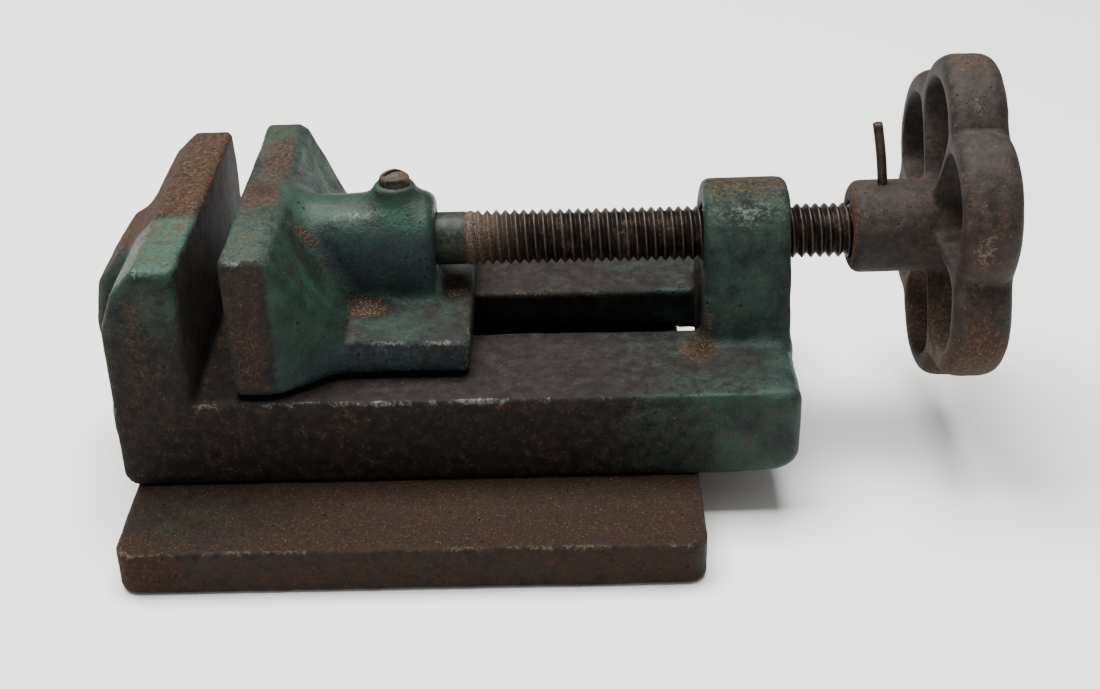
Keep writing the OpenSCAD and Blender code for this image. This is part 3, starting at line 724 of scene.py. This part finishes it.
# Painted highlight: a pale band along the boss's upper front, where the lamp's reflection lies.
bare += 0.42 * blob(points, (-13, -6.5, axis_z + 9.5), (20, 4.5, 4))
powder = 0.1 + 0.1 * up * on_foot + 0.85 * blob(points, (-12, -14.5, foot_z), (11, 9, 5))
powder += 0.8 * blob(points, (8.5, -4, foot_z + 1), (6, 10, 6))
for along, height in ((-26, 61), (-24, 57), (-21, 51), (-18.5, 44)):
    powder += 0.5 * blob(points, (along, -11.5, height), (5, 5.5, 6))
powder += 0.35 * blob(points, (face_x + 5, -2, slide_z), (8, 9, 3))
cold = 0.85 * on_boss * ease((axis_z + 9 - pz) / 8) + 0.9 * near_side * on_foot
cold = np.clip(cold + 0.8 * flare * ease((foot_z + 4 - pz) / 10), 0, 1)
jaw_iron = weathered_iron("green_jaw", ("#151211", "#262120"), ("#14211c", "#233d31"),
                          ("#2b3f35", "#3c5246"), ("#2a1f19", "#574130"), "#6c746b", 0.18)
piece("jaw_casting", points, faces, jaw_iron, "jaw", "green_jaw", ["sliding_jaw"],
      paint=paint, pale=pale, rust=rust, bare=bare, powder=powder, cold=cold)


# Keeper and its screws.
# A flat steel plate under the deck, wider than the slot, keeps the tongue from lifting. Two
# screws run up through it into the tongue. It is greasy and out of sight.
keep_lo, keep_hi = corners("keeper_plate")
axes = open_axes(keep_lo, keep_hi, 0.5)
x, y, z = axes
field = both(both(within(x, keep_lo[0], keep_hi[0]), within(y, keep_lo[1], keep_hi[1]), 0.8),
             within(z, keep_lo[2], keep_hi[2]), 0.5)
for screw in ("keeper_screw_left", "keeper_screw_right"):
    lo, hi = corners(screw)
    field = less(field, np.hypot(x - (lo[0] + hi[0]) / 2, y) - 3.3, 0.3)
points, faces, out, edge, wide = surface(field, axes, [[6, 0.03]])
keeper_steel = dark_steel("keeper_steel", "#1d1a18", "#302a26", ("#2c1b12", "#4b2f1c"), 0.3, 0.4)
piece("keeper_bar", points, faces, keeper_steel, "jaw", "hidden_steel", ["keeper_plate"])
screws("keeper_screws", ["keeper_screw_left", "keeper_screw_right"], 2.9, slotted, "jaw")


# Retaining screw.
# A round-headed slotted screw in the pad on top of the boss. Its tip runs in a groove in the
# screw's nose, so that the jaw follows the screw both ways. The head is chewed and rusty.
ret_slot_turn, head_r, head_top = math.radians(25), (ret_hi[0] - ret_lo[0]) / 2 - 0.05, ret_hi[2]
axes = open_axes(ret_lo, ret_hi, 0.16)
x, y, z = axes
from_axis = np.hypot(x - ret_x, y)
dome_r = 4.6
dome = both(np.hypot(from_axis, z - head_top + dome_r) - dome_r, from_axis - head_r, 0.4)
head = both(dome, pad_z - 0.1 - z, 0.25)
across = -(x - ret_x) * math.sin(ret_slot_turn) + y * math.cos(ret_slot_turn)
head = less(head, both(np.abs(across) - 0.55, head_top - 1.25 - z, 0.1), 0.18)
shank = both(from_axis - 2.4, within(z, ret_lo[2], pad_z + 0.5), 0.3)
field = np.minimum(head, shank)
points, faces, out, edge, wide = surface(field, axes, [[2.4, 0.1], [0.9, 0.05]])
ret_steel = dark_steel("rusty_screw_head", "#22241f", "#4a4c43", ("#2c1f18", "#5c4330"), 0.52, 0.38)
piece("retaining_screw_head", points, faces, ret_steel, "jaw", "fastener_steel", ["retaining_screw"])


# Lead screw.
# Turned steel with a plain nose, a right-hand thread of 12 turns to the inch, and a spigot in
# the wheel's hub. The thread is dark with old oil, its crests rubbed bright, and dirt and rust
# are packed into the first turns beside the nose.
pitch, thread_x, thread_end = 25.4 / 12, 12.1, 104.0
nose_r, spigot_r = screw_r - 0.2, screw_r - 0.85
turns, around = 14, 72
stations = [(screw_lo[0], nose_r - 0.8), (screw_lo[0] + 0.8, nose_r), (ret_x - 2.1, nose_r),
            (ret_x - 2.05, nose_r - 1.5), (ret_x + 2.05, nose_r - 1.5), (ret_x + 2.1, nose_r),
            (4.0, nose_r), (thread_x - 1.2, nose_r), (thread_x - 0.5, nose_r - 0.15)]
rows = int((thread_end - thread_x) / pitch * turns)
stations += [(thread_x + (thread_end - thread_x) * i / rows, screw_r - 0.02) for i in range(rows + 1)]
stations += [(thread_end + 0.2, spigot_r), (screw_hi[0] - 0.8, spigot_r),
             (screw_hi[0], spigot_r - 0.8)]
angles = np.arange(around) * 2 * math.pi / around
points = np.concatenate([np.stack([np.full(around, sx), sr * np.cos(angles),
                                   axis_z + sr * np.sin(angles)], 1) for sx, sr in stations])
faces = []
for i in range(len(stations) - 1):
    for k in range(around):
        a, b = i * around + k, i * around + (k + 1) % around
        faces.append((a, b, b + around, a + around))
last = (len(stations) - 1) * around
faces.append(tuple(reversed(range(around))))
faces.append(tuple(last + k for k in range(around)))


def thread_tree(material):
    """Cuts a thread: points sink towards the axis by how far they are from the crest's helix"""
    tree, given, result = new_tree("thread_cutter", pitch=1, depth=1, start=0, end=1, height=0)
    nodes, link = tree.nodes, tree.links.new

    def work(how, a, b=0.0):
        node = nodes.new("ShaderNodeMath")
        node.operation = how
        for socket, value in zip(node.inputs, (a, b)):
            if isinstance(value, bpy.types.NodeSocket):
                link(value, socket)
            else:
                socket.default_value = value
        return node.outputs[0]

    def ramp(value, lows, highs, shape="SMOOTHSTEP"):
        node = nodes.new("ShaderNodeMapRange")
        node.interpolation_type = shape
        for socket, given_value in zip(node.inputs, (value,) + lows + highs):
            if isinstance(given_value, bpy.types.NodeSocket):
                link(given_value, socket)
            else:
                socket.default_value = given_value
        return node.outputs[0]

    place, split = nodes.new("GeometryNodeInputPosition"), nodes.new("ShaderNodeSeparateXYZ")
    link(place.outputs[0], split.inputs[0])
    along, side = split.outputs["X"], split.outputs["Y"]
    above = work("SUBTRACT", split.outputs["Z"], given.outputs["height"])
    turn = work("DIVIDE", work("ARCTAN2", above, side), 2 * math.pi)
    phase = work("FRACT", work("ADD", work("SUBTRACT", work("DIVIDE", along, given.outputs["pitch"]),
                                           turn), 100.0))
    from_crest = work("ABSOLUTE", work("SUBTRACT", phase, 0.5))
    cut = ramp(from_crest, (0.04, 0.5), (0.0, 1.0), "LINEAR")
    lead_in = ramp(along, (given.outputs["start"], work("ADD", given.outputs["start"],
                                                         work("MULTIPLY", given.outputs["pitch"], 1.2))),
                   (0.0, 1.0))
    run_out = ramp(along, (work("SUBTRACT", given.outputs["end"], given.outputs["pitch"]),
                           given.outputs["end"]), (1.0, 0.0))
    sink = work("MULTIPLY", work("MULTIPLY", cut, given.outputs["depth"]),
                work("MULTIPLY", lead_in, run_out))
    radius = work("SQRT", work("ADD", work("MULTIPLY", side, side), work("MULTIPLY", above, above)))
    share = work("DIVIDE", sink, work("MAXIMUM", radius, 0.0001))
    shift = nodes.new("ShaderNodeCombineXYZ")
    link(work("MULTIPLY", work("MULTIPLY", side, share), -1.0), shift.inputs["Y"])
    link(work("MULTIPLY", work("MULTIPLY", above, share), -1.0), shift.inputs["Z"])
    moved = nodes.new("GeometryNodeSetPosition")
    link(given.outputs["Geometry"], moved.inputs["Geometry"])
    link(shift.outputs[0], moved.inputs["Offset"])
    real, painted = nodes.new("GeometryNodeRealizeInstances"), nodes.new("GeometryNodeSetMaterial")
    painted.inputs["Material"].default_value = material
    link(moved.outputs[0], real.inputs[0])
    link(real.outputs[0], painted.inputs["Geometry"])
    link(painted.outputs[0], result.inputs["Geometry"])
    return tree


def threaded_steel():
    """Dark in the roots and bright on the crests, with rust and dust packed in near the nose"""
    s = Shader("lead_screw_steel")
    s.surface.inputs["Specular IOR Level"].default_value = 0.15
    split = s.tree.nodes.new("ShaderNodeSeparateXYZ")
    s.set(split.inputs[0], s.place)
    above = s.math("SUBTRACT", split.outputs["Z"], axis_z)
    radius = s.math("SQRT", s.math("ADD", s.math("MULTIPLY", split.outputs["Y"], split.outputs["Y"]),
                                   s.math("MULTIPLY", above, above)))
    cloud, fine, grit = s.noise(5.0), s.noise(0.9, 5, 0.7, 12), s.noise(0.25, 3, 0.7, 40)
    crest = s.step(s.math("ADD", radius, s.math("MULTIPLY", s.math("SUBTRACT", fine, 0.5), 0.5)),
                   screw_r - 0.22, screw_r - 0.04)
    packed = s.step(s.math("ADD", split.outputs["X"], s.math("MULTIPLY", cloud, 12)), 33, 19)
    packed = s.math("MULTIPLY", packed, s.step(split.outputs["X"], thread_x - 2, thread_x))
    base = s.mix(s.step(cloud, 0.35, 0.65), colour("#15110f"), colour("#261f1a"))
    base = s.mix(s.math("MULTIPLY", crest, 0.7), base, colour("#4d453f"))
    rust_share = s.math("MAXIMUM", s.broken(0.36, (cloud, 0.8), (fine, 0.9)),
                        s.math("MULTIPLY", packed, s.step(fine, 0.3, 0.45)))
    rust = s.mix(s.step(grit, 0.45, 0.62), colour("#2b201a"), colour("#786858"))
    base = s.mix(s.math("MULTIPLY", rust_share, 0.8), base, rust)
    on_nose = s.step(split.outputs["X"], thread_x - 0.6, thread_x - 1.4)
    nose = s.mix(s.step(fine, 0.35, 0.7), colour("#22241f"), colour("#363a33"))
    base = s.mix(on_nose, base, nose)
    height = s.math("ADD", s.math("MULTIPLY", fine, 0.5), s.math("MULTIPLY", grit, 0.4))
    return s.finish(base, s.blend(rust_share, 0.42, 0.85), s.blend(rust_share, 0.35, 0.0), height, 0.12)


sizes = {"pitch": pitch, "depth": 0.52 * pitch, "start": thread_x, "end": thread_end,
         "height": axis_z}
grown("lead_screw_turned", points, faces, thread_tree(threaded_steel()),
      {k: v * MM for k, v in sizes.items()}, "screw", ["lead_screw"])


# Handwheel.
# A third casting, never painted well: a long hub, six thin spokes and a rim of six round lobes
# that fit the fingers, barrelled across its width. The moulder's core sat high, so the rim and
# hub run a little above the bore. Handling has left it brown, with green and orange traces.
pin_lo, pin_hi = corners("wheel_pin")
hub_x, hub_x1 = wheel_lo[0], wheel_hi[0]
lobes, lobe_d, lobe_r, rim_t, rim_w, rim_in = 6, 21, 18.2, 5.9, 12.8, 17.8
rim_x, hub_z, hub_r = hub_x + rim_in, axis_z + 0.9, 10.9
rim_z = (wheel_lo[2] + wheel_hi[2]) / 2
crown = 2.2
axes = open_axes(wheel_lo, wheel_hi, 0.57)
x, y, z = axes
sector = 2 * math.pi / lobes
turn = np.abs(np.mod(np.arctan2(y, z - rim_z) + sector / 2, sector) - sector / 2)
far = np.hypot(y, z - rim_z)
u, v = far * np.sin(turn), far * np.cos(turn)
own = np.hypot(u, v - lobe_d)
beside = np.hypot(u - lobe_d * math.sin(sector), v - lobe_d * math.cos(sector))
off_middle = (x - rim_x - rim_w / 2) / (rim_w / 2)
outside = either(own - lobe_r, beside - lobe_r, 0.5) + crown * off_middle ** 4 + 0.1
rim = both(outside, within(x, rim_x, rim_x + rim_w), 1.0)
half_spoke = 1.1 + 0.5 * (1 - off_middle ** 2)
beside_spoke = u * math.cos(sector / 2) - v * math.sin(sector / 2) + half_spoke
inner = own - lobe_r + rim_t - 0.5 * np.abs(off_middle)
window = both(inner, beside_spoke, 2.4)
rim = less(rim, window, 0.9)
hub_inset, hub_taper, hub_end_r = 0.6, 0.012, 2.4
hub = np.hypot(y, z - hub_z) - hub_r + 0.15 + hub_taper * np.abs(x - hub_x - 9)
hub = both(hub, within(x, hub_x, hub_x1 - hub_inset), hub_end_r)
field = either(rim, hub, 1.4)
bore = np.where(x < hub_x + 4.2, screw_r + 0.15, spigot_r + 0.1)
field = less(field, np.hypot(y, z - axis_z) - bore, 0.35)
points, faces, out, edge, wide = surface(field, axes, [[8, 0.1], [3.2, 0.05], [1.5, 0.03]])
px, py, pz = points.T
on_hub = ease((hub_x + 15 - px) / 4)
low = ease((rim_z - 4 - pz) / 14)
from_notch = np.abs(np.mod(np.arctan2(py, pz - rim_z), sector) - sector / 2)
notch = ease((0.06 - from_notch) / 0.09)
notch *= ease((np.hypot(py, pz - rim_z) - 28) / 3) * (1 - on_hub)
paint = 0.16 + 0.3 * low + 0.2 * on_hub + 0.3 * notch
paint += 0.25 * blob(points, (rim_x, -20, rim_z - 22), (14, 16, 14))
rust = 0.32 + 0.3 * low + 0.25 * wide + 0.3 * on_hub * ease((wide - 0.1) * 3)
rust += 0.4 * blob(points, (rim_x + rim_w, -14, rim_z - 24), (7, 22, 22))
# Painted highlights: two pale patches on the near lobes stand for the lamp's glints, and the edges come
# out pale as metal showing through and as glint.
bare = 0.04 + 0.45 * blob(points, (rim_x + 5, -15, rim_z + 34), (5, 9, 6))
bare += 0.45 * blob(points, (rim_x + 5, -36, rim_z + 10), (5, 6, 9)) + 0.2 * rubbed_and_glinting(points, edge, 24)
wheel_iron = weathered_iron("wheel_casting", ("#191411", "#322924"), ("#1a2720", "#293e31"),
                            ("#3a443a", "#4d584c"), ("#2d1f19", "#5c4430"), "#6f655c", 0.25)
piece("handwheel_casting", points, faces, wheel_iron, "screw", "wheel_casting", ["handwheel"],
      paint=paint, pale=0.1 + 0 * rust, rust=rust, bare=bare, powder=0.08 + 0 * rust,
      cold=0.4 * on_hub)


# Wheel pin.
# A cut-off nail through hub and screw stops the wheel from turning on its spigot. Its free end
# stands well out of the hub, leans a little towards the vise, and is rough where it was cut.
pin_x, pin_r, lean = pin_hi[0] - 1.2, 1.15, math.radians(8.5)
pin_y, bend_z = (pin_lo[1] + pin_hi[1]) / 2, hub_z + hub_r - 0.8
path = [(pin_x, pin_lo[2] + 0.1), (pin_x, axis_z), (pin_x, bend_z - 1.5), (pin_x - 0.06, bend_z)]
reach = pin_hi[2] - 0.3 - bend_z
for i in range(1, 13):
    t = i / 12
    path.append((pin_x - 0.06 - reach * t * math.tan(lean) + 0.22 * math.sin(math.pi * t),
                 bend_z + reach * t))
path += [(path[-1][0] - 0.01, path[-1][1] + 0.1)]
sides_n = 24
points, faces = [], []
for i, (cx, cz) in enumerate(path):
    before, after = path[max(i - 1, 0)], path[min(i + 1, len(path) - 1)]
    along = np.array([after[0] - before[0], 0, after[1] - before[1]])
    along /= np.linalg.norm(along)
    across = np.array([along[2], 0, -along[0]])
    r = pin_r * (0.72 if i in (0, len(path) - 1) else 1)
    for k in range(sides_n):
        a = 2 * math.pi * k / sides_n
        spoke = across * math.cos(a) + np.array([0, 1, 0]) * math.sin(a)
        points.append(np.array([cx, pin_y, cz]) + r * spoke)
for i in range(len(path) - 1):
    for k in range(sides_n):
        a, b = i * sides_n + k, i * sides_n + (k + 1) % sides_n
        faces.append((a, b, b + sides_n, a + sides_n))
last = (len(path) - 1) * sides_n
faces += [tuple(reversed(range(sides_n))), tuple(last + k for k in range(sides_n))]
points = np.array(points)
nail_steel = dark_steel("rusty_nail", "#2e2621", "#463a32", ("#33231a", "#5f432f"), 0.34, 0.5)
piece("bent_nail", points, faces, nail_steel, "screw", "nail_steel", ["wheel_pin"])
